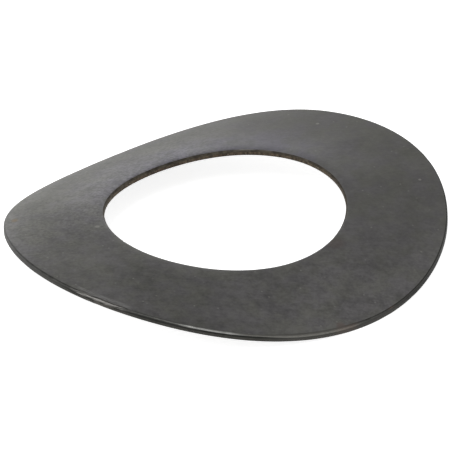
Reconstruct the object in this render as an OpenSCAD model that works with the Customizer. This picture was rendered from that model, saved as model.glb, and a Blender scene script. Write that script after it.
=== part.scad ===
// Curved spring washer: one ring of spring steel sheet, bent about one line.
// It arches up along X and rests on its two low ends. Units are millimetres.
// The origin lies on the bore's axis, on the surface the washer rests on.

/* [Ring] */
// Outside diameter of the ring
outer_diameter = 40; // [30:0.5:50]
// Diameter of the hole for the bolt or shaft
bore_diameter = 21.75; // [12:0.25:28]
// Thickness of the sheet
thickness = 0.65; // [0.4:0.05:1]

/* [Bend] */
// Radius of the flat crown of the arch, to the middle of the sheet
crown_radius = 72; // [60:1:120]
// Width of the crown along X, before the ends start to curve down faster
crown_width = 12; // [6:0.5:16]
// Radius of the end that is bent tighter, on the -X side
tight_end_radius = 33.5; // [30:0.5:45]
// Radius of the other end, on the +X side
slack_end_radius = 51.5; // [35:0.5:60]

/* [Edges] */
// Radius on the upper and lower edge of the outer rim
rim_edge_radius = 0.15; // [0.1:0.01:0.18]
// Radius on the upper edge of the bore, which the punch drew down as it went in
bore_upper_radius = 0.25; // [0.15:0.01:0.26]
// Radius on the lower edge of the bore
bore_lower_radius = 0.12; // [0.06:0.01:0.12]

/* [Hidden] */
outer_radius = outer_diameter / 2;
bore_radius = bore_diameter / 2;
half_sheet = thickness / 2;
// angle at which the crown hands over to the end arcs
crown_angle = asin(crown_width / 2 / crown_radius);
// sections round the ring, and flats in each rounded edge
sections = 144;
edge_steps = 3;
// how far the edge former stands proud of the wall and face that each rounded edge joins
rim_skin = 1.3 * outer_radius * (1 - cos(180 / sections));
bore_skin = 1.3 * bore_radius * (1 - cos(180 / sections));
// how far it stays clear of the faces between the edges
stand_off = outer_radius / 12;
// how far a tool runs past the part that it cuts
overrun = outer_radius / 4;
// how far the ends of the arch lap over the crown where they meet
lap = 0.0001;

// Distance of an end arc's centre from the crown line, and its height under the crown.
function end_centre_x(end_radius) = (crown_radius - end_radius) * sin(crown_angle);
function end_centre_drop(end_radius) = crown_radius - (crown_radius - end_radius) * cos(crown_angle);

// Fall of the sheet, d away from the crown line, for the surface that lies offset above the middle.
function fall(d, end_radius, offset) =
    d < (crown_radius + offset) * sin(crown_angle)
    ? crown_radius - sqrt(pow(crown_radius + offset, 2) - d * d)
    : end_centre_drop(end_radius) - sqrt(pow(end_radius + offset, 2) - pow(d - end_centre_x(end_radius), 2));

// Steepness of that surface at the same place, as fall over run.
function steepness(d, end_radius, offset) =
    d < (crown_radius + offset) * sin(crown_angle)
    ? tan(asin(d / (crown_radius + offset)))
    : tan(asin((d - end_centre_x(end_radius)) / (end_radius + offset)));

// Depth of one low end under the crown, down to the bottom of its rounded lower edge.
function foot_depth(d, end_radius) =
    let (
        inset = rim_edge_radius - rim_skin,
        slope = steepness(d - inset, end_radius, -half_sheet)
    )
    fall(d - inset, end_radius, -half_sheet) - inset * sqrt(1 + slope * slope) + rim_edge_radius;

// The crown line settles a little to one side, so that both ends touch the ground.
function foot_gap(x) = foot_depth(outer_radius - x, slack_end_radius) - foot_depth(outer_radius + x, tight_end_radius);
function settled(low, high, steps) =
    steps == 0 ? (low + high) / 2
    : foot_gap((low + high) / 2) > 0 ? settled((low + high) / 2, high, steps - 1)
    : settled(low, (low + high) / 2, steps - 1);
crown_x = settled(-outer_radius / 4, outer_radius / 4, 30);
crown_z = foot_depth(outer_radius - crown_x, slack_end_radius);

// Height and slope of a surface of the bent sheet anywhere along X.
function end_radius_at(x) = x < crown_x ? tight_end_radius : slack_end_radius;
function height_at(x, offset) = crown_z - fall(abs(x - crown_x), end_radius_at(x), offset);
function slope_at(x, offset) = (x < crown_x ? 1 : -1) * steepness(abs(x - crown_x), end_radius_at(x), offset);

// Everything above the X axis on one side of the Z axis, 1 for the right and -1 for the left.
module beside(side) {
    translate([side > 0 ? 0 : -2 * crown_radius, 0])
        square(2 * crown_radius);
}

// Section of the sheet bent to one radius, as a full circle about its own centre.
module sheet_circle(radius) {
    difference() {
        circle(r = radius + half_sheet, $fn = 720);
        circle(r = radius - half_sheet, $fn = 720);
    }
}

// The flat crown, between the two lines where it hands over.
module crown_profile() {
    intersection() {
        sheet_circle(crown_radius);
        rotate(-crown_angle) beside(-1);
        rotate(crown_angle) beside(1);
    }
}

// Moves a profile in two steps, first by whole hundredths and then by the rest, which keeps its place exact.
module place(centre) {
    whole = [for (v = centre) round(v * 100) / 100];
    translate(whole)
        translate(centre - whole)
            children();
}

// One end of the arch. Its centre lies on the line where the crown stops, so that the two are tangent.
module end_profile(radius, side) {
    intersection() {
        place([side * end_centre_x(radius), crown_radius - end_centre_drop(radius)])
            sheet_circle(radius);
        rotate(-side * crown_angle)
            translate([-side * lap, 0])
                beside(side);
    }
}

// Upright ring between the bore and the outer rim.
module upright_ring() {
    height = 2 * (crown_z + overrun);
    difference() {
        cylinder(h = height, r = outer_radius, center = true, $fn = sections);
        cylinder(h = height + overrun, r = bore_radius, center = true, $fn = sections);
    }
}

// The bent strip that the ring is punched from. Its profile is drawn about the crown's centre.
module bent_strip() {
    translate([crown_x, 0, crown_z - crown_radius])
        rotate([90, 0, 0])
            linear_extrude(height = outer_diameter + 2 * overrun, center = true) {
                crown_profile();
                end_profile(slack_end_radius, 1);
                end_profile(tight_end_radius, -1);
            }
}

// Points of one rounded edge in the section at angle a, between a wall and a face of the sheet.
// side is 1 at the rim and -1 at the bore, up is 1 for the upper face and -1 for the lower.
function edge_points(a, side, up) =
    let (
        radius = side > 0 ? rim_edge_radius : up > 0 ? bore_upper_radius : bore_lower_radius,
        inset = radius - (side > 0 ? rim_skin : bore_skin),
        wall = side > 0 ? outer_radius : bore_radius,
        run = wall - side * inset,
        x = run * cos(a),
        slope = slope_at(x, up * half_sheet) * cos(a),
        z = height_at(x, up * half_sheet) - up * inset * sqrt(1 + slope * slope),
        wall_angle = side > 0 ? 0 : up > 0 ? 180 : -180,
        face_angle = up * 90 + atan(slope)
    )
    [for (i = [0:edge_steps])
        let (f = wall_angle + (face_angle - wall_angle) * i / edge_steps)
        [run + radius * cos(f), z + radius * sin(f)]];

function backwards(list) = [for (i = [len(list) - 1:-1:0]) list[i]];

// Section of the edge former at angle a: four rounded corners, standing off the faces between them.
function former_section(a) =
    let (
        middle = (outer_radius + bore_radius) / 2,
        high = height_at(middle * cos(a), half_sheet) + stand_off,
        low = height_at(middle * cos(a), -half_sheet) - stand_off
    )
    concat(
        backwards(edge_points(a, 1, -1)),
        edge_points(a, 1, 1),
        [[middle, high]],
        backwards(edge_points(a, -1, 1)),
        edge_points(a, -1, -1),
        [[middle, low]]
    );

// Ring that follows the wave of the edges and rounds them off.
module edge_former() {
    count = 4 * (edge_steps + 1) + 2;
    points = [
        for (k = [0:sections - 1])
            let (a = 360 * (k + 0.5) / sections)
            for (p = former_section(a))
                [p[0] * cos(a), p[0] * sin(a), p[1]]
    ];
    faces = [
        for (k = [0:sections - 1])
            for (i = [0:count - 1])
                let (
                    here = k * count + i,
                    next = k * count + (i + 1) % count,
                    over = (k + 1) % sections * count + i,
                    across = (k + 1) % sections * count + (i + 1) % count
                )
                for (f = [[here, next, across], [here, across, over]])
                    f
    ];
    polyhedron(points = points, faces = faces);
}

// The whole washer.
module washer() {
    color([0.33, 0.33, 0.33])
        intersection() {
            bent_strip();
            upright_ring();
            edge_former();
        }
}

washer();
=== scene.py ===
# %% [markdown]
# A curved spring washer, seen from the front and a little above.
# The real one is a ring punched out of thin spring steel sheet and then bowed in a press, so that it
# stands on two low ends. Oil blackening leaves it a satin grey that is never quite even.
# This notebook loads the measured part, makes a finer skin for it, finishes the steel, and lights it.

# %% Load the measured part
import math

import bpy
import numpy as np
from mathutils import Matrix, Vector


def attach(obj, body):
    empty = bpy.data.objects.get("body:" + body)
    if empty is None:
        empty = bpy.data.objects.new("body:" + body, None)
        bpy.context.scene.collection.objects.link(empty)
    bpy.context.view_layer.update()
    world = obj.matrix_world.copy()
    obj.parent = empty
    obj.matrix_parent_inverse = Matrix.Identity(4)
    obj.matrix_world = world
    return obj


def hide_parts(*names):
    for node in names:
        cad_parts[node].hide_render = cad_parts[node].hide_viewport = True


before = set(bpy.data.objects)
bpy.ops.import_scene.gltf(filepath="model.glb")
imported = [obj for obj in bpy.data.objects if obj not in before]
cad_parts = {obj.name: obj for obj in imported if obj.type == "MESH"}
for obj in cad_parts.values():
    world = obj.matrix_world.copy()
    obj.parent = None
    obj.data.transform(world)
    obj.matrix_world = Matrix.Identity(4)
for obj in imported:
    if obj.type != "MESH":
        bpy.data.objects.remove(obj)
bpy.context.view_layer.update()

MM = 0.001


def in_mm(box):
    """The two corners of a box in millimetres, rounded for reading."""
    return [[round(float(v) / MM, 3) for v in corner] for corner in box]


print("nodes of the measured part:", list(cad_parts))

# %% [markdown]
# The washer's sizes are the ones that the measured part was drawn with, in millimetres.
# The sheet is bent to three arcs that run into each other: a flat crown in the middle, a tighter end on
# the left and a slacker one on the right. Each end arc is tangent to the crown where they meet, so its
# centre lies on the line from the crown's centre to that place. A smooth curve drawn by hand could look
# the same, but the arcs keep the skin on the measured part at every point.

# %% Sizes of the ring and of its bend
OUTER = 20.0  # radius of the rim
BORE = 10.875  # radius of the hole
SHEET = 0.65  # thickness of the sheet
CROWN_RADIUS = 72.0
CROWN_WIDTH = 12.0
TIGHT_RADIUS = 33.5
SLACK_RADIUS = 51.5
crown_angle = math.asin(CROWN_WIDTH / 2 / CROWN_RADIUS)


def end_centre_x(end_radius):
    """How far the centre of an end arc lies from the crown line."""
    return (CROWN_RADIUS - end_radius) * math.sin(crown_angle)


def hand_over(offset):
    """How far from the crown line a surface passes from the crown to an end arc."""
    return (CROWN_RADIUS + offset) * math.sin(crown_angle)


def fall(distance, end_radius, offset):
    """How far a surface of the bent sheet lies below the crown, some way out from the crown line."""
    centre_drop = CROWN_RADIUS - (CROWN_RADIUS - end_radius) * math.cos(crown_angle)
    out = distance - end_centre_x(end_radius)
    on_crown = CROWN_RADIUS - np.sqrt(np.maximum((CROWN_RADIUS + offset) ** 2 - distance ** 2, 0))
    on_end = centre_drop - np.sqrt(np.maximum((end_radius + offset) ** 2 - out ** 2, 0))
    return np.where(distance < hand_over(offset), on_crown, on_end)


print(f"the crown hands over {math.degrees(crown_angle):.2f} degrees from its top")
for name, end_radius in (("tight", TIGHT_RADIUS), ("slack", SLACK_RADIUS)):
    print(f"{name} side: the sheet falls {fall(OUTER, end_radius, 0):.2f} mm in {OUTER:.0f} mm")

# %% [markdown]
# A washer set down on a table settles until both low ends touch it. The left end is bent tighter, so
# the highest line of the arch comes to lie a little to the left of the bore. Each end touches with the
# bottom of its rounded lower edge, which hangs a little under the sheet's own surface.
# Moving the ring by hand until both ends look right would do for a picture. Halving an interval thirty
# times is as short to write, and exact.

# %% Let both ends settle on the table
RIM_EDGE = 0.15  # radius of the rim's rounded edges
PROUD = 0.0062  # how far the measured rim's edge radius stands out beyond its flats
STEEPEST = 0.99  # keeps the arc sine in range beyond the end of an arc
HALVINGS = 30


def steepness(distance, end_radius, offset):
    """Fall over run of a surface of the sheet, some way out from the crown line."""
    on_crown = distance / (CROWN_RADIUS + offset)
    on_end = (distance - end_centre_x(end_radius)) / (end_radius + offset)
    lean = np.where(distance < hand_over(offset), on_crown, on_end)
    return np.tan(np.arcsin(np.clip(lean, -STEEPEST, STEEPEST)))


def foot_depth(distance, end_radius):
    """Depth of a low end under the crown, down to the bottom of its rounded lower edge."""
    inset = RIM_EDGE - PROUD
    tilt = steepness(distance - inset, end_radius, -SHEET / 2)
    return fall(distance - inset, end_radius, -SHEET / 2) - inset * np.sqrt(1 + tilt ** 2) + RIM_EDGE


low, high = -OUTER / 4, OUTER / 4
for _ in range(HALVINGS):
    middle = (low + high) / 2
    if foot_depth(OUTER - middle, SLACK_RADIUS) > foot_depth(OUTER + middle, TIGHT_RADIUS):
        low = middle
    else:
        high = middle
crown_x = (low + high) / 2
crown_z = float(foot_depth(OUTER - crown_x, SLACK_RADIUS))
print(f"crown line at x {crown_x:.3f} mm, sheet's middle {crown_z:.3f} mm above the table")

# %% [markdown]
# Once the crown line is known, the height and the slope of the sheet follow for any place along X.
# Everything after this asks only these two functions where the steel is. A flat ring with a bend
# modifier would have one radius from end to end, which is not how this washer is bowed.

# %% Height and slope of the settled sheet
def end_radius_at(x):
    """Radius of the end arc on this side of the crown line."""
    return np.where(x < crown_x, TIGHT_RADIUS, SLACK_RADIUS)


def height(x, offset):
    """Height of a surface of the sheet above the table."""
    return crown_z - fall(np.abs(x - crown_x), end_radius_at(x), offset)


def slope(x, offset):
    """Rise over run of that surface along X."""
    return np.sign(crown_x - x) * steepness(np.abs(x - crown_x), end_radius_at(x), offset)


for name, x in (("left end", -OUTER), ("crown", crown_x), ("right end", OUTER)):
    print(f"{name}: upper face {height(x, SHEET / 2):.2f} mm above the table")

# %% [markdown]
# A punched ring has no sharp edges: the tool leaves a small radius on each, and the largest one on the
# bore's upper edge, where it went in. A bevel modifier could round them, but it would cut across the
# bend. Here each edge is an arc in every section of the ring, from the upright wall to the tilted face,
# so it keeps its radius all round.

# %% Round three of the four edges
AROUND = 640  # sections in the ring
EDGE_STEPS = 6  # steps in each rounded edge
BORE_UPPER_EDGE = 0.25
BORE_LOWER_EDGE = 0.12
RIM_SIDE, BORE_SIDE = 1, -1
UP, DOWN = 1, -1
angle = np.arange(AROUND) * 2 * math.pi / AROUND


def rounded_edge(wall, side, edge, up):
    """Rows of points round one edge, from the wall to the face, as radius and height."""
    run = wall - side * edge
    x = run * np.cos(angle)
    tilt = slope(x, up * SHEET / 2) * np.cos(angle)
    centre = height(x, up * SHEET / 2) - up * edge * np.sqrt(1 + tilt ** 2)
    start = 0.0 if side == RIM_SIDE else up * math.pi
    end = up * math.pi / 2 + np.arctan(tilt)
    rows = []
    for k in range(EDGE_STEPS + 1):
        turn = start + (end - start) * k / EDGE_STEPS
        rows.append((run + edge * np.cos(turn), centre + edge * np.sin(turn)))
    return rows


rim_low = rounded_edge(OUTER, RIM_SIDE, RIM_EDGE, DOWN)
bore_top = rounded_edge(BORE, BORE_SIDE, BORE_UPPER_EDGE, UP)
bore_low = rounded_edge(BORE, BORE_SIDE, BORE_LOWER_EDGE, DOWN)
print(f"three edges of {len(rim_low)} rows of points, {AROUND} points in each")

# %% [markdown]
# The fourth edge, the rim's upper one, took the wear. On the real washer it is rolled over at the front
# right and on a short stretch at the left, where it catches the light as a broader line. The radius is
# therefore a list with one value for each section, which swells softly along those two stretches.

# %% Roll the rim's upper edge where it is worn
WORN_FRONT = 0.17  # what wear adds to the edge radius at the front right
WORN_LEFT = 0.1  # and at the left


def stretch_of_ring(start, end, soft):
    """1 round the ring from one compass angle to another in degrees, falling softly to 0 at both ends."""
    turn = (np.degrees(angle) + 180) % 360 - 180
    up = np.clip((turn - start) / soft + 0.5, 0, 1)
    down = np.clip((turn - end) / soft + 0.5, 0, 1)
    return up * up * (3 - 2 * up) * (1 - down * down * (3 - 2 * down))


rolled = RIM_EDGE + WORN_FRONT * stretch_of_ring(-27, -3, 10) + WORN_LEFT * stretch_of_ring(-83, -67, 5)
rim_top = rounded_edge(OUTER, RIM_SIDE, rolled, UP)
print(f"the rim's upper edge has a radius of {rolled.min():.2f} to {rolled.max():.2f} mm")

# %% [markdown]
# Between the edges lie the two faces of the sheet and its two upright walls. Their rows run from the
# last point of one edge to the first of the next. A face has many rows, because it is bowed and
# carries a soft dip near the bore, and a wall needs only a few.

# %% Rows of points between the edges
FACE_STEPS = 56
UNDER_STEPS = 30
WALL_STEPS = 6


def face_rows(start, end, offset, steps):
    """Rows of points across a face of the sheet, between two edges."""
    rows = []
    for k in range(1, steps):
        out = start[0] + (end[0] - start[0]) * k / steps
        rows.append((out, height(out * np.cos(angle), offset)))
    return rows


def wall_rows(start, end):
    """Rows of points straight up or down a wall, between two edges."""
    return [tuple(a + (b - a) * k / WALL_STEPS for a, b in zip(start, end)) for k in range(1, WALL_STEPS)]


upper_face = face_rows(bore_top[-1], rim_top[-1], SHEET / 2, FACE_STEPS)
lower_face = face_rows(rim_low[-1], bore_low[-1], -SHEET / 2, UNDER_STEPS)
rim_wall = wall_rows(rim_top[0], rim_low[0])
bore_wall = wall_rows(bore_low[0], bore_top[0])
print(f"{len(upper_face)} rows on the upper face, {len(lower_face)} on the lower, {len(rim_wall)} on a wall")

# %% [markdown]
# The skin is one closed band. Its section is walked round once: from the bore over the upper face to
# the rim, down the rim's wall and back along the underside. Turned round the axis, with every ring of
# points following the bend, it gives the whole washer with no seam to hide.
# Each strip between two rings also gets a zone, which says what finish the steel has there.

# %% Walk the section, strip by strip
# The burnished rows get a near-black finish, which is partly painted shade: the wall is darker towards the
# top.
LAND_ROWS = 3  # upper rows of the rim's wall, which the punch burnished
DRAWN_ROWS = 5  # rows of the bore's upper edge that look drawn instead of flat
FACE, RIM, BORE_WALL, RIM_CORNER, UNDERSIDE, BORE_CORNER, RIM_LAND_PAINTED_DARK = range(7)
section = []
zones = []


def lay(rows, zone):
    """Adds rows of points to the section. The zone is that of the strip behind each row."""
    for row in rows:
        section.append(row)
        zones.append(zone)


lay(bore_top[-1:], FACE)
lay(upper_face, FACE)
lay(rim_top[-1:], FACE)
lay(rim_top[-2::-1], RIM_CORNER)
lay(rim_wall[:LAND_ROWS], RIM_LAND_PAINTED_DARK)
lay(rim_wall[LAND_ROWS:], RIM)
lay(rim_low, RIM)
lay(lower_face, UNDERSIDE)
lay(bore_low[-1:], UNDERSIDE)
lay(bore_low[-2::-1], BORE_WALL)
lay(bore_wall, BORE_WALL)
lay(bore_top[:1], BORE_WALL)
lay(bore_top[1:DRAWN_ROWS], BORE_CORNER)
lay(bore_top[DRAWN_ROWS:-1], FACE)
zones = zones[1:] + [FACE]
print(f"section of {len(section)} points, turned {AROUND} times")

# %% [markdown]
# When the punch goes through, it drags the sheet down round the hole before it cuts. The upper face
# therefore dips in the last millimetre before the bore, and more so at the back right.
# A relief in the shader could fake the dip, but not the way it lowers the bore's edge against the light,
# so the points themselves move. Only those above the sheet's middle do, because the die held the
# underside flat.

# %% Draw the sheet down round the bore
DRAWN_DOWN = 0.08
DRAWN_MORE = 0.05  # on top of that, at the back right
DRAWN_REACH = 1.1
CLEARANCE = 0.001  # keeps the skin just inside the measured box
radius = np.array([row[0] for row in section])
level = np.array([row[1] for row in section])
above_middle = np.clip((level - height(radius * np.cos(angle), 0)) / (SHEET / 2), 0, 1)
deepest = DRAWN_DOWN + DRAWN_MORE * stretch_of_ring(60, 118, 12)
drawn_in = deepest * np.clip(1 - (radius - BORE) / DRAWN_REACH, 0, 1) ** 2
level = level - (CLEARANCE + drawn_in) * above_middle
print(f"the bore's upper edge is drawn down by up to {drawn_in.max():.2f} mm")

# %% [markdown]
# A punched rim is not a turned one. The press leaves a shallow waviness and a few tiny nicks, all
# smaller than a tenth of a millimetre. A displace modifier could roughen the skin, but it would also
# push metal outwards, and wear only ever takes it away. So the depth of the wear is worked out for each
# section and taken off near the edges. The chances come from a fixed seed, so the washer is the same
# one each time, and the bore wears like the rim, some way further round.

# %% Waves and nicks
WAVE_DEPTH = 0.005
WEAR_REACH = 0.6  # how far from an edge the wear fades out
NICKS = 9
BORE_TURN = 171  # sections between the rim's wear and the bore's
chance = np.random.default_rng(7)
waves = sum(np.cos(k * angle + chance.uniform(0, 2 * math.pi)) / k for k in range(9, 40, 3))
worn_off = WAVE_DEPTH * (1 + waves / np.abs(waves).max())
for _ in range(NICKS):
    nick = chance.uniform(0, 2 * math.pi)
    depth = chance.uniform(0.01, 0.03)
    width = chance.uniform(0.15, 0.4)
    away = (angle - nick + math.pi) % (2 * math.pi) - math.pi
    worn_off += depth * np.exp(-(away * OUTER / width) ** 2)
at_rim = np.clip((radius - OUTER + WEAR_REACH) / WEAR_REACH, 0, 1) ** 2
at_bore = np.clip((BORE + WEAR_REACH - radius) / WEAR_REACH, 0, 1) ** 2
radius = radius - worn_off * at_rim + np.roll(worn_off, BORE_TURN) * at_bore
print(f"{NICKS} nicks; the wear takes {worn_off.min():.3f} to {worn_off.max():.3f} mm away")

# %% [markdown]
# Now the rows become a mesh. Every point of one ring is joined to its neighbours on the same ring and
# on the next one, and the last ring is joined to the first, which closes the skin. A few hundred
# sections are enough for smooth outlines from close by, with no subdivision to blur the thin edges.
# The new piece stands in for the plain measured solid, which is hidden, and hangs from the root body's
# empty.

# %% Make the skin
points = np.stack([radius * np.cos(angle), radius * np.sin(angle), level], axis=2) * MM
rows, columns = radius.shape
corners = []
for k in range(rows):
    here, there = k * columns, (k + 1) % rows * columns
    for j in range(columns):
        beside = (j + 1) % columns
        corners.append((here + j, there + j, there + beside, here + beside))
skin_mesh = bpy.data.meshes.new("spring_washer")
skin_mesh.from_pydata(points.reshape(-1, 3).tolist(), [], corners)
skin_mesh.polygons.foreach_set("use_smooth", [True] * len(corners))
skin_mesh.polygons.foreach_set("material_index", np.repeat(zones, columns).astype(np.int32))
skin_mesh.update()
washer = bpy.data.objects.new("spring_washer", skin_mesh)
bpy.context.scene.collection.objects.link(washer)
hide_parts("washer")
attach(washer, "root")
print("skin:", len(corners), "faces; box in mm:", in_mm((points.min(axis=(0, 1)), points.max(axis=(0, 1)))))

# %% [markdown]
# A finish is a set of nodes joined by wires, and its maths reads best as sums. This small class stands
# for one wire, so that `0.2 + 0.5 * grain` lays down the Math nodes by itself, and `1 - mask` works too.
# Every other node comes from the one method `node`, which takes the node's kind, then its settings, and
# then the values or wires of its sockets. Laying each node by hand would make the same finish, but a
# reader would no longer see the sum that it stands for.

# %% A wire that can be added and multiplied
class Wire:
    """One output of a node, with the sums that can be done on it."""

    def __init__(self, tree, socket=None):
        self.tree = tree
        self.socket = socket

    def __getitem__(self, name):
        """Another output of the same node."""
        return Wire(self.tree, self.socket.node.outputs[name])

    def node(self, kind, settings=None, **sockets):
        """Lays down a node and gives its first output. A list fills the sockets that share a name."""
        made = self.tree.nodes.new(kind)
        for name, value in (settings or {}).items():
            setattr(made, name, value)
        for name, given in sockets.items():
            slots = [s for s in made.inputs if s.enabled and s.name == name.replace("_", " ")]
            for slot, value in zip(slots, given if isinstance(given, list) else [given]):
                if isinstance(value, Wire):
                    self.tree.links.new(value.socket, slot)
                else:
                    slot.default_value = value
        outputs = [o for o in made.outputs if o.enabled]
        return Wire(self.tree, outputs[0]) if outputs else None

    def sum(self, operation, first, second):
        """One Math node on two values, of which either may be a plain number."""
        return self.node("ShaderNodeMath", {"operation": operation}, Value=[first, second])

    def __add__(self, other):
        return self.sum("ADD", self, other)

    def __radd__(self, other):
        return self.sum("ADD", other, self)

    def __sub__(self, other):
        return self.sum("SUBTRACT", self, other)

    def __rsub__(self, other):
        return self.sum("SUBTRACT", other, self)

    def __mul__(self, other):
        return self.sum("MULTIPLY", self, other)

    def __rmul__(self, other):
        return self.sum("MULTIPLY", other, self)

    def __truediv__(self, other):
        return self.sum("DIVIDE", self, other)

    def __rtruediv__(self, other):
        return self.sum("DIVIDE", other, self)

    def between(self, low, high):
        """0 below low, 1 above high, and smooth between them."""
        return self.node("ShaderNodeMapRange", {"interpolation_type": "SMOOTHSTEP", "clamp": True},
                         Value=self, From_Min=low, From_Max=high)


# %% [markdown]
# Every finish of the washer starts the same way: a new material, and on it the place of each point in
# the washer's own millimetres. A pattern that is drawn from that place keeps its real size, has no
# seam, and stays on the steel from wherever it is seen. A picture would have to be wrapped round the
# ring first, and would blur from close by.

# %% Start of the blackened face
def empty_finish(name):
    """A new material with no nodes, and a loose wire that its first node is laid from."""
    finish = bpy.data.materials.new(name)
    finish.use_nodes = True
    finish.node_tree.nodes.clear()
    return finish, Wire(finish.node_tree)


def scaled(vector, amount):
    """A place or a colour, with all its three numbers times one amount."""
    return vector.node("ShaderNodeVectorMath", {"operation": "SCALE"}, Vector=vector, Scale=amount)


def steel_finish(name):
    """A new material, and the place on the washer in millimetres, which its patterns are drawn from."""
    finish, start = empty_finish(name)
    return finish, scaled(start.node("ShaderNodeTexCoord")["Object"], 1 / MM)


def count_nodes(wire, step):
    """Says how many nodes a finish has after a step."""
    print(f"{step}: {len(wire.tree.nodes)} nodes so far")


face, place = steel_finish("blackened_face")
count_nodes(place, "place on the face")

# %% [markdown]
# Blackened sheet is never one grey. The real face has cloudy patches about 3 mm across, finer mottling
# inside them, a grit as fine as sand, and a faint grain along the way the strip was rolled.
# One noise with many octaves would blur these together. Here each is a noise of its own size, and the
# grain is one that is stretched along the strip. They are added with weights that make 1 together, so
# that the sum still lies around one half.

# %% Patches, mottle, grit and grain
GRAIN_TURN = -0.889  # turns the way of rolling onto the X axis, in radians
GRAIN_STRETCH = (0.3, 1.6, 1.0)


def combined(operation, *vectors):
    """One Vector Math node. It gives a number for a length, a distance or a dot product."""
    return vectors[0].node("ShaderNodeVectorMath", {"operation": operation}, Vector=list(vectors))


def cloud(place, size, detail, rough, seed):
    """Soft noise around one half, with patches about `size` millimetres across."""
    return place.node("ShaderNodeTexNoise", {"noise_dimensions": "4D"},
                      Vector=place, W=seed, Scale=1.0 / size, Detail=detail, Roughness=rough)


def sheet_clouds(place, seed):
    """Patches, mottle and grit: what the blackening leaves on a face of the sheet."""
    return (cloud(place, 3.0, 2.0, 0.5, seed), cloud(place, 0.9, 2.0, 0.6, seed + 1),
            cloud(place, 0.28, 2.0, 0.65, seed + 2))


patches, mottle, grit = sheet_clouds(place, 1.0)
along_strip = place.node("ShaderNodeVectorRotate", {"rotation_type": "Z_AXIS"},
                         Vector=place, Angle=GRAIN_TURN)
grain = cloud(combined("MULTIPLY", along_strip, GRAIN_STRETCH), 0.3, 2.0, 0.5, 4.0)
tone = 0.27 * patches + 0.30 * mottle + 0.28 * grit + 0.15 * grain
count_nodes(tone, "clouds of the face")

# %% [markdown]
# The blackening didn't take the same way all round. The back of the real ring is calm, and its left end
# is gritty. A mask for one side of the ring comes from the direction in which a place lies from the
# bore's axis, and the masks then press the pattern together or spread it about its middle value.

# %% Calm back and gritty left end
DEEP_STEEL = (0.096, 0.095, 0.0918, 1)
PALE_STEEL = (0.190, 0.188, 0.1815, 1)
FLATTEN = (1, 1, 0)  # drops the height from a place
flat = combined("MULTIPLY", place, FLATTEN)
radius_here = combined("LENGTH", flat)


def facing(compass):
    """1 on the side of the ring that lies at a compass angle, -1 on the far side."""
    way = (math.cos(math.radians(compass)), math.sin(math.radians(compass)), 0)
    return combined("DOT_PRODUCT", flat, way) / radius_here


def blend(share, first, second):
    """A mix of two colours: the first where the share is 0, the second where it is 1."""
    return share.node("ShaderNodeMix", {"data_type": "RGBA"}, Factor=share, A=first, B=second)


calm = facing(85).between(0.2, 0.9)
gritty = facing(198).between(0.3, 0.9)
spread = 1.05 - 0.45 * calm + 0.3 * gritty
tone = 0.5 + (tone - 0.5 + 0.22 * gritty * (grit - 0.5)) * spread
steel = blend(tone.between(0.3, 0.7), DEEP_STEEL, PALE_STEEL)
count_nodes(steel, "calm and gritty sides")

# %% [markdown]
# The oil dries to a film of uneven thickness. Where it is thick the steel looks a little olive, and
# where it is thin a little violet or blue, most of all round the bore at the back left, where the film
# was wiped off. A film could be a clear coat over the steel, but a coat would change its gloss as
# well. These tints are weak, so they are only multiplied onto the steel's colour, one after the other.

# %% Tints of the oil film
NO_TINT = (1, 1, 1, 1)
OLIVE = (1.01, 1.015, 0.94, 1)
VIOLET = (1.0, 0.98, 1.02, 1)
BLUE = (0.977, 0.977, 1.06, 1)
COOL_VIOLET = (0.985, 0.984, 1.025, 1)


def oil_film(place, seed):
    """Patches of thin film in the thicker one."""
    return cloud(place, 1.8, 4.0, 0.6, seed).between(0.33, 0.67)


def side_patch(compass, narrow, full, inner, outer):
    """A soft patch on one side of the ring, which grows from an inner radius to an outer one."""
    return facing(compass).between(narrow, full) * radius_here.between(inner, outer)


def tinted(colour, share, first, second):
    """A colour times a mix of two tints."""
    return combined("MULTIPLY", colour, blend(share, first, second))


# This patch round the bore at the back left tints the film blue. Further down it also makes the face paler,
# which is painted light.
wiped_film_and_painted_light = (1 - radius_here.between(11.0, 18.0)) * facing(160).between(-0.25, 1.0)
film = oil_film(place, 5.0) + 0.2 * wiped_film_and_painted_light + 0.25 * facing(5).between(0.4, 1.0)
film = film - 0.4 * side_patch(190, 0.2, 1.0, 14.0, 18.0)
violet = (1 - radius_here.between(11.0, 16.5)) * facing(140).between(0.3, 1.0)
violet = violet + side_patch(240, 0.9, 1.0, 17.5, 19.2)
steel = tinted(steel, film, OLIVE, VIOLET)
steel = tinted(steel, wiped_film_and_painted_light, NO_TINT, BLUE)
steel = tinted(steel, violet, NO_TINT, COOL_VIOLET)
count_nodes(steel, "oil film")

# %% [markdown]
# The face is also painted lighter or darker in soft patches, as painted light and shade: paler round the
# bore at the back left most of all, paler at the two low ends and the front a little, and a painted shadow
# beside the bore at the front right. Each is a soft patch on one side of the ring, and their sum scales the
# colour.

# %% Painted light and shade on the face
# Painted light and shade: the four pale patches are painted light, and the dark patch at the front right is
# a painted shadow.
painted_shadow_front = side_patch(312, 0.72, 0.98, 11.0, 14.0)
painted_light_tip = side_patch(5, 0.6, 1.0, 15.5, 19.5)
painted_light_shoulder = side_patch(222, 0.75, 1.0, 17.0, 20.0)
painted_light_front = side_patch(258, 0.5, 0.95, 14.0, 19.0)
painted_light_right = side_patch(345, 0.75, 1.0, 11.5, 13.0) * (1 - radius_here.between(17.0, 19.5))
painted_light_and_shade = 0.98 + 0.73 * wiped_film_and_painted_light - 0.13 * painted_shadow_front + 0.22 * painted_light_tip + 0.25 * painted_light_shoulder
painted_light_and_shade = painted_light_and_shade + 0.10 * painted_light_front + 0.13 * painted_light_right
steel = scaled(steel, painted_light_and_shade)
count_nodes(steel, "shade of the face")

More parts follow.
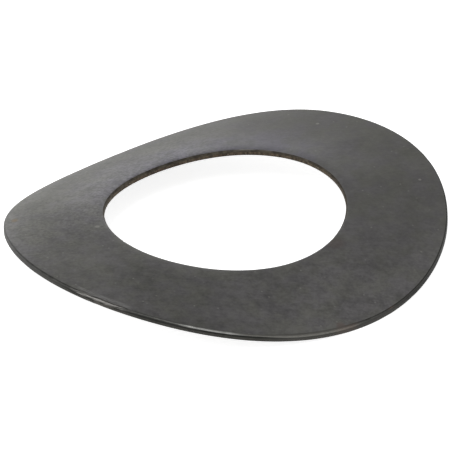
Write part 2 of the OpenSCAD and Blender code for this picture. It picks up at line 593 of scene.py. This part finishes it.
# %% [markdown]
# Small marks make the steel look used: pale dust that settled on it, one rust spot, and a few stains.
# The dust needs many specks at random places. Blender's cell texture gives one place in each of its
# cells, and the random colour that it gives each cell picks the ones that really carry a speck.
# The larger marks are round spots that stand where the real washer has them.

# %% Dust, rust and stains
DUST_CELL = 1.6  # millimetres from one cell to the next
DUST = (0.4, 0.39, 0.36, 1)
RUST = (0.22, 0.15, 0.065, 1)
DARK_STAIN = (0.06, 0.06, 0.055, 1)
BROWN_STAIN = (0.12, 0.085, 0.065, 1)
TIP_STAIN = (0.17, 0.125, 0.11, 1)
cells = place.node("ShaderNodeTexVoronoi", {"voronoi_dimensions": "2D"}, Vector=flat, Scale=1 / DUST_CELL)
chosen = (0 + cells["Color"]).between(0.5, 0.9)
dust = chosen * (1 - cells["Distance"].between(0.02, 0.08))
steel = blend(0.35 * dust, steel, DUST)
marks = (  # x, y and size in millimetres, strength and colour
    (-4.97, -10.83, 0.32, 0.45, DUST),
    (-5.96, 16.14, 0.22, 0.45, DUST),
    (8.06, 16.24, 0.2, 0.45, DUST),
    (-12.5, -14.3, 0.42, 0.45, RUST),
    (-12.77, -14.08, 0.42, 0.45, RUST),
    (-17.15, 0.57, 0.4, 0.5, DARK_STAIN),
    (10.9, 3.6, 1.2, 0.3, BROWN_STAIN),
    (19.5, -3.2, 0.6, 0.5, TIP_STAIN),
)
for x, y, size, strength, colour in marks:
    away = combined("DISTANCE", flat, (x, y, 0))
    spot = 1 - away.between(0.4 * size, size)
    steel = blend(strength * spot, steel, colour)
count_nodes(steel, f"dust and {len(marks)} marks")

# %% [markdown]
# At the left of the front, something rubbed along the rim and left a bundle of fine bright scratches.
# They run round the ring, so their noise is drawn in the ring's own directions: the compass angle
# counts little, and the distance from the axis counts a lot.

# %% Scratches along the lip
RUBBED = (0.26, 0.255, 0.25, 1)


def compass_of(place):
    """Compass angle round the ring in degrees, from -180 to 180."""
    parts = place.node("ShaderNodeSeparateXYZ", None, Vector=place)
    return place.sum("ARCTAN2", parts["Y"], parts["X"]) * math.degrees(1)


def stretch(turn, start, end, soft):
    """1 from one compass angle to another, falling softly to 0 at both ends."""
    return turn.between(start - soft, start + soft) * (1 - turn.between(end - soft, end + soft))


def drag_lines(place, turn, seed):
    """Fine scratches along the rim, about a tenth of a millimetre apart."""
    reach = combined("LENGTH", combined("MULTIPLY", place, FLATTEN))
    parts = place.node("ShaderNodeSeparateXYZ", None, Vector=place)
    lined = place.node("ShaderNodeCombineXYZ", None, X=0.25 * turn, Y=9 * reach, Z=9 * parts["Z"])
    return cloud(lined, 1.0, 2.0, 0.5, seed)


turn = compass_of(place)
scratches = drag_lines(place, turn, 6.0).between(0.4, 0.55)
lip = stretch(turn, -83, -66, 2) * radius_here.between(19.2, 19.4) * scratches
steel = blend(0.75 * lip, steel, RUBBED)
count_nodes(steel, "scratched lip")

# %% [markdown]
# A shader now turns the layers into steel. The mottle also makes the face a little rougher or smoother,
# and the fine layers give it a relief of hundredths of a millimetre through a Bump node, which tilts
# the light and leaves the mesh alone. The grazing tint is a little under white, because an oily black
# finish never mirrors quite like clean steel when it is seen edge on.

# %% Put the face together
GRAZING_TINT = (0.9, 0.9, 0.9, 1)


def put_together(finish, colour, roughness, metallic, relief, strength, depth):
    """Joins colour, roughness and relief to the shader and the output. The depth is in millimetres."""
    bump = colour.node("ShaderNodeBump", None, Strength=strength, Distance=depth * MM, Height=relief)
    shader = colour.node("ShaderNodeBsdfPrincipled", None, Base_Color=colour, Roughness=roughness,
                         Metallic=metallic, Specular_Tint=GRAZING_TINT, Normal=bump)
    colour.node("ShaderNodeOutputMaterial", None, Surface=shader)
    print(f"{finish.name}: {len(colour.tree.nodes)} nodes")


relief = 0.4 * mottle + 0.3 * grain + 0.3 * grit
put_together(face, steel, 0.36 + 0.16 * mottle, 0.85, relief, 0.25, 0.02)

# %% [markdown]
# The rim's wall shows how it was punched. Its upper part was sheared and burnished smooth by the tool, and
# below it the steel tore off and stayed rougher. The two bands are real, but the upper one's near-black
# colour is painted shade, which makes the wall darker towards the top, and the torn band below is lighter.
# Soot, scuffs and rubbed stretches run over both bands, so one function makes both finishes, and each
# band has its own two greys and its own noise.

# %% Two bands of the rim's wall
SCUFF = (0.13, 0.12, 0.108, 1)
RIM_STRETCHES = (  # from and to a compass angle, softness, strength and colour
    (-28, 10, 6, 0.45, (0.085, 0.082, 0.075, 1)),
    (-135, -86, 6, 0.5, (0.085, 0.083, 0.077, 1)),
    (14, 60, 4, 0.5, (0.016, 0.016, 0.014, 1)),
    (-11, -5, 1.5, 0.3, (0.12, 0.095, 0.08, 1)),
)


def rim_finish(name, deep, light, seed):
    """Dark sheared steel between two greys, with soot, scuffs and rubbed stretches."""
    finish, place = steel_finish(name)
    turn = compass_of(place)
    tear = cloud(combined("MULTIPLY", place, (1.0, 1.0, 0.35)), 0.35, 3.0, 0.6, seed)
    soot = cloud(place, 1.6, 2.0, 0.5, seed + 1)
    dark = blend((0.5 * tear + 0.5 * soot).between(0.3, 0.7), deep, light)
    scuffed = stretch(turn, -80, -68, 3) * cloud(place, 0.6, 2.0, 0.5, seed + 2).between(0.35, 0.6)
    dark = blend(0.6 * scuffed, dark, SCUFF)
    for start, end, soft, strength, colour in RIM_STRETCHES:
        dark = blend(strength * stretch(turn, start, end, soft), dark, colour)
    put_together(finish, dark, 0.42 + 0.2 * soot, 0.7, tear, 0.25, 0.02)
    return finish


torn = rim_finish("torn_rim", (0.028, 0.028, 0.024, 1), (0.060, 0.058, 0.051, 1), 15.0)
# Painted shade: the burnished band's near-black greys make the wall darker towards the top.
painted_dark_land = rim_finish("burnished_land_painted_dark", (0.010, 0.010, 0.009, 1), (0.024, 0.024, 0.021, 1), 18.0)

# %% [markdown]
# The bore's wall is sheared too, but oil collects there and the blackening is thin. It has gone brown
# and carries rust patches and small bright facets of torn steel. It is rougher than the faces and less
# metallic, and the tear marks are drawn tall, because the punch pulled them along the axis. The rim's
# finish with browner greys would come close, but it has soot where this wall has rust.

# %% Wall of the bore
WALL_DEEP = (0.034, 0.026, 0.017, 1)
WALL_LIGHT = (0.118, 0.092, 0.062, 1)
WALL_RUST = (0.125, 0.08, 0.052, 1)
FACET = (0.3, 0.26, 0.2, 1)
wall, place = steel_finish("sheared_bore")
tear = cloud(combined("MULTIPLY", place, (1.0, 1.0, 0.3)), 0.25, 3.0, 0.6, 25.0)
paler = 1 - compass_of(place).between(95, 125)
brown = scaled(blend(tear.between(0.35, 0.75), WALL_DEEP, WALL_LIGHT), 1 + 0.35 * paler)
rust = cloud(place, 1.1, 3.0, 0.6, 27.0).between(0.48, 0.68)
brown = blend(0.45 * rust, brown, WALL_RUST)
facets = cloud(place, 0.4, 2.0, 0.7, 26.0).between(0.6, 0.72)
brown = blend(0.7 * facets, brown, FACET)
put_together(wall, brown, 0.6 + 0.15 * tear, 0.5, tear, 0.6, 0.04)

# %% [markdown]
# Between the face and the bore's wall lies the corner that the punch drew down. It stayed smoother
# than the wall and dark, apart from two short stretches at the back, where its upper part is rubbed
# bare and catches the light.

# %% Drawn corner of the bore
DRAWN_DEEP = (0.031, 0.026, 0.019, 1)
DRAWN_LIGHT = (0.080, 0.069, 0.052, 1)
BARE_EDGE = (0.3, 0.29, 0.27, 1)
drawn, place = steel_finish("drawn_corner")
rub = cloud(place, 0.5, 3.0, 0.6, 41.0)
turn = compass_of(place)
paler = 1 - turn.between(95, 125)
dark = scaled(blend(rub.between(0.35, 0.7), DRAWN_DEEP, DRAWN_LIGHT), 1 + 0.2 * paler)
upper_part = combined("LENGTH", combined("MULTIPLY", place, FLATTEN)).between(10.93, 10.99)
bared = (stretch(turn, 125.5, 133, 1) + 0.5 * stretch(turn, 117, 122, 1)) * upper_part
dark = blend(0.5 * bared, dark, BARE_EDGE)
put_together(drawn, dark, 0.5 + 0.15 * rub, 0.7, rub, 0.3, 0.02)

# %% [markdown]
# The rim's upper corner takes the most wear. All round it is dull, one stretch at the front is worn to
# bare steel and gives the washer its brightest glint, and the stretch beside it is only softened. Wear
# could follow the mesh's curvature, but here the same corner is bare in one place and black in the
# next, so compass angles say where each kind of wear lies.

# %% Worn corner of the rim
DULL = (0.05, 0.05, 0.046, 1), (0.085, 0.084, 0.079, 1)
BARE = (0.3, 0.3, 0.29, 1), (0.42, 0.42, 0.4, 1)
SOFTENED = (0.17, 0.165, 0.15, 1)
SCRATCHED = (0.24, 0.23, 0.22, 1)
BLACK_CORNER = (0.03, 0.03, 0.027, 1)
BROWN_CORNER = (0.15, 0.11, 0.09, 1)
corner, place = steel_finish("worn_corner")
turn = compass_of(place)
rub = cloud(place, 0.8, 3.0, 0.6, 8.0)
soft = stretch(turn, -36, -6, 4)
scratched = stretch(turn, -83, -66, 3) * drag_lines(place, turn, 9.0).between(0.4, 0.6)
browned = stretch(turn, -11, -5, 1.5) + stretch(turn, 6, 8, 1)
dull = blend(rub.between(0.35, 0.7), *DULL)
bare = blend(rub.between(0.3, 0.7), *BARE)
worn = blend(0.75 * stretch(turn, -51, -37, 3), dull, bare)
worn = blend(0.6 * soft, worn, SOFTENED)
worn = blend(0.8 * scratched, worn, SCRATCHED)
worn = blend(0.7 * stretch(turn, 2, 60, 5), worn, BLACK_CORNER)
worn = blend(0.33 * browned, worn, BROWN_CORNER)
put_together(corner, worn, 0.30 + 0.1 * rub + 0.1 * soft, 0.9, rub, 0.15, 0.01)

# %% [markdown]
# The underside came out of the same bath, so it has the same patches, mottle, grit and oil film as the
# face, from the same helpers with other seeds. It could share the face's finish, but then the marks, the
# tints and the painted light and shade of the face would show through on it.

# %% Underside
UNDER_DEEP = (0.088, 0.087, 0.0845, 1)
UNDER_PALE = (0.168, 0.166, 0.161, 1)
under, place = steel_finish("blackened_underside")
patches, mottle, grit = sheet_clouds(place, 31.0)
tone = 0.3 * patches + 0.4 * mottle + 0.3 * grit
steel = blend(tone.between(0.28, 0.72), UNDER_DEEP, UNDER_PALE)
steel = tinted(steel, oil_film(place, 34.0), OLIVE, VIOLET)
put_together(under, steel, 0.38 + 0.16 * mottle, 0.85, 0.5 * mottle + 0.5 * grit, 0.25, 0.02)

# %% [markdown]
# A mesh keeps its finishes in a row of slots, and each face of the skin already has the number of its
# zone. The finishes go in by the zones' order, so that every strip finds its own.

# %% Put the finishes on their strips
finish_of = {FACE: face, RIM: torn, BORE_WALL: wall, RIM_CORNER: corner, UNDERSIDE: under,
             BORE_CORNER: drawn, RIM_LAND_PAINTED_DARK: painted_dark_land}
for zone in sorted(finish_of):
    washer.data.materials.append(finish_of[zone])
    print(f"{finish_of[zone].name}: {zones.count(zone)} strips of {len(zones)}")

# %% [markdown]
# The washer stands on a plain white board. The camera has to see it as white as the paper round a
# catalogue picture, yet it must keep the washer's shadow. More lamp light would grey the steel's
# blacks, so the board glows a little instead, for the camera and for reflections only. Light Path says
# which ray is asking.

# %% White board
BOARD_REACH = 3.0
GLOW_FOR_CAMERA = 0.8
GLOW_FOR_METAL = 0.25
board_mesh = bpy.data.meshes.new("white_board")
board_corners = [(x * BOARD_REACH, y * BOARD_REACH, 0) for x, y in ((-1, -1), (1, -1), (1, 1), (-1, 1))]
board_mesh.from_pydata(board_corners, [], [(0, 1, 2, 3)])
board = bpy.data.objects.new("white_board", board_mesh)
bpy.context.scene.collection.objects.link(board)
white, start = empty_finish("white_board")
paint = start.node("ShaderNodeBsdfPrincipled", None, Base_Color=(0.9, 0.9, 0.9, 1), Roughness=0.9,
                   Specular_IOR_Level=0.0)
ray = start.node("ShaderNodeLightPath")
glow = GLOW_FOR_CAMERA * ray["Is Camera Ray"] + GLOW_FOR_METAL * ray["Is Glossy Ray"]
glowing = start.node("ShaderNodeEmission", None, Color=glow, Strength=1.0)
lit = start.node("ShaderNodeAddShader", None, Shader=[paint, glowing])
start.node("ShaderNodeOutputMaterial", None, Surface=lit)
board.data.materials.append(white)
print(f"board {2 * BOARD_REACH:.0f} m across, {len(white.node_tree.nodes)} nodes")

# %% [markdown]
# Three soft panels light the washer: a large one over the camera's left shoulder, one from the left,
# and a low strip at the right that glances along the rim. Directions are given as the camera sees
# them: 0 lies straight behind the washer, 90 to the right, 180 at the camera and 270 to the left.
# Panels give the broad, soft glints of a studio, where point lamps would leave hard bright dots.

# %% Lamps
CAMERA_AZIMUTH = 50.93
LAMP_DISTANCE = 0.7
lamps = (  # name, direction, degrees above the table, width and height in metres, power in watts
    ("front_softbox", 198, 56, 0.24, 0.3, 1.5),
    ("left_softbox", 252, 35, 0.3, 0.3, 0.7),
    ("right_softbox", 139, 9, 0.5, 0.12, 0.3),
)
for name, seen_at, elevation, width, tall, power in lamps:
    lamp = bpy.data.lights.new(name, "AREA")
    lamp.shape = "RECTANGLE"
    lamp.size = width
    lamp.size_y = tall
    lamp.energy = power
    stand = bpy.data.objects.new(name, lamp)
    a, e = math.radians(seen_at - CAMERA_AZIMUTH), math.radians(elevation)
    way = Vector((math.sin(a) * math.cos(e), math.cos(a) * math.cos(e), math.sin(e)))
    stand.location = way * LAMP_DISTANCE
    stand.rotation_euler = (-stand.location).to_track_quat("-Z", "Y").to_euler()
    stand.visible_camera = False
    bpy.context.scene.collection.objects.link(stand)
    print(f"{name}: {power} W from {tuple(round(v, 2) for v in stand.location)}")

# %% [markdown]
# Behind and above the washer hangs a white sweep of paper. The camera sees it as plain white. The steel
# sees what a real sweep gives: bright paper near the table and a dimmer ceiling above, which is what
# shades the bowed face so gently. A curved backdrop mesh could stand there, but it would be in the way
# from other sides. The world's colour does the same and only depends on how steeply a ray rises.

# %% White sweep
CEILING = 0.3
PAPER_HIGH = 0.25  # added below the ceiling
PAPER_LOW = 0.7  # added again near the table
world = bpy.data.worlds.new("white_sweep")
world.use_nodes = True
world.node_tree.nodes.clear()
bpy.context.scene.world = world
start = Wire(world.node_tree)
heading = start.node("ShaderNodeTexCoord")["Generated"]
rise = start.node("ShaderNodeSeparateXYZ", None, Vector=heading)["Z"]
sweep = CEILING + PAPER_HIGH * (1 - rise.between(0.5, 1.0)) + PAPER_LOW * (1 - rise.between(0.0, 0.55))
seen = start.node("ShaderNodeLightPath")["Is Camera Ray"]
paper = start.node("ShaderNodeBackground", None, Color=seen + sweep * (1 - seen), Strength=1.0)
start.node("ShaderNodeOutputWorld", None, Surface=paper)
print(f"sweep from {CEILING} overhead to {CEILING + PAPER_HIGH + PAPER_LOW:.2f} at the table")

# %% [markdown]
# The picture was taken from far away with a long lens, so the washer shows almost no perspective.
# The camera therefore stands 60 outer radii away, and its lens is worked out so that the radius is as
# many pixels long as in the picture. It is turned a little about its own axis, as the real one was.
# The crown's middle has to land on its own pixel. The camera is moved sideways for that, which leaves
# the lens without any shift.

# %% Camera
FRAME_PIXELS = 452
PIXELS_PER_RADIUS = 222.25
CROWN_PIXEL = (224.49, 206.40)
CAMERA_ELEVATION = 28.34
CAMERA_ROLL = 2.78
SENSOR = 36
DISTANCE = 60 * OUTER * MM
pixel = OUTER * MM / PIXELS_PER_RADIUS
a, e, r = (math.radians(v) for v in (CAMERA_AZIMUTH, CAMERA_ELEVATION, CAMERA_ROLL))
back = Vector((math.sin(a) * math.cos(e), -math.cos(a) * math.cos(e), math.sin(e)))
right = Vector((math.cos(a), math.sin(a), 0))
up = back.cross(right)
camera_right = right * math.cos(r) - up * math.sin(r)
camera_up = right * math.sin(r) + up * math.cos(r)
centre = (FRAME_PIXELS - 1) / 2
aim = Vector((0, 0, crown_z * MM))
aim += camera_right * (centre - CROWN_PIXEL[0]) * pixel + camera_up * (CROWN_PIXEL[1] - centre) * pixel
lens = bpy.data.cameras.new("long_lens")
lens.sensor_width = SENSOR
lens.lens = SENSOR * DISTANCE / (FRAME_PIXELS * pixel)
lens.clip_start = 0.01
lens.clip_end = 20
camera = bpy.data.objects.new("long_lens", lens)
way_it_faces = Matrix((camera_right, camera_up, back)).transposed().to_4x4()
camera.matrix_world = Matrix.Translation(aim + back * DISTANCE) @ way_it_faces
bpy.context.scene.collection.objects.link(camera)
bpy.context.scene.camera = camera
bpy.context.scene.view_settings.view_transform = "Standard"
print(f"lens {lens.lens:.0f} mm at {DISTANCE:.2f} m")
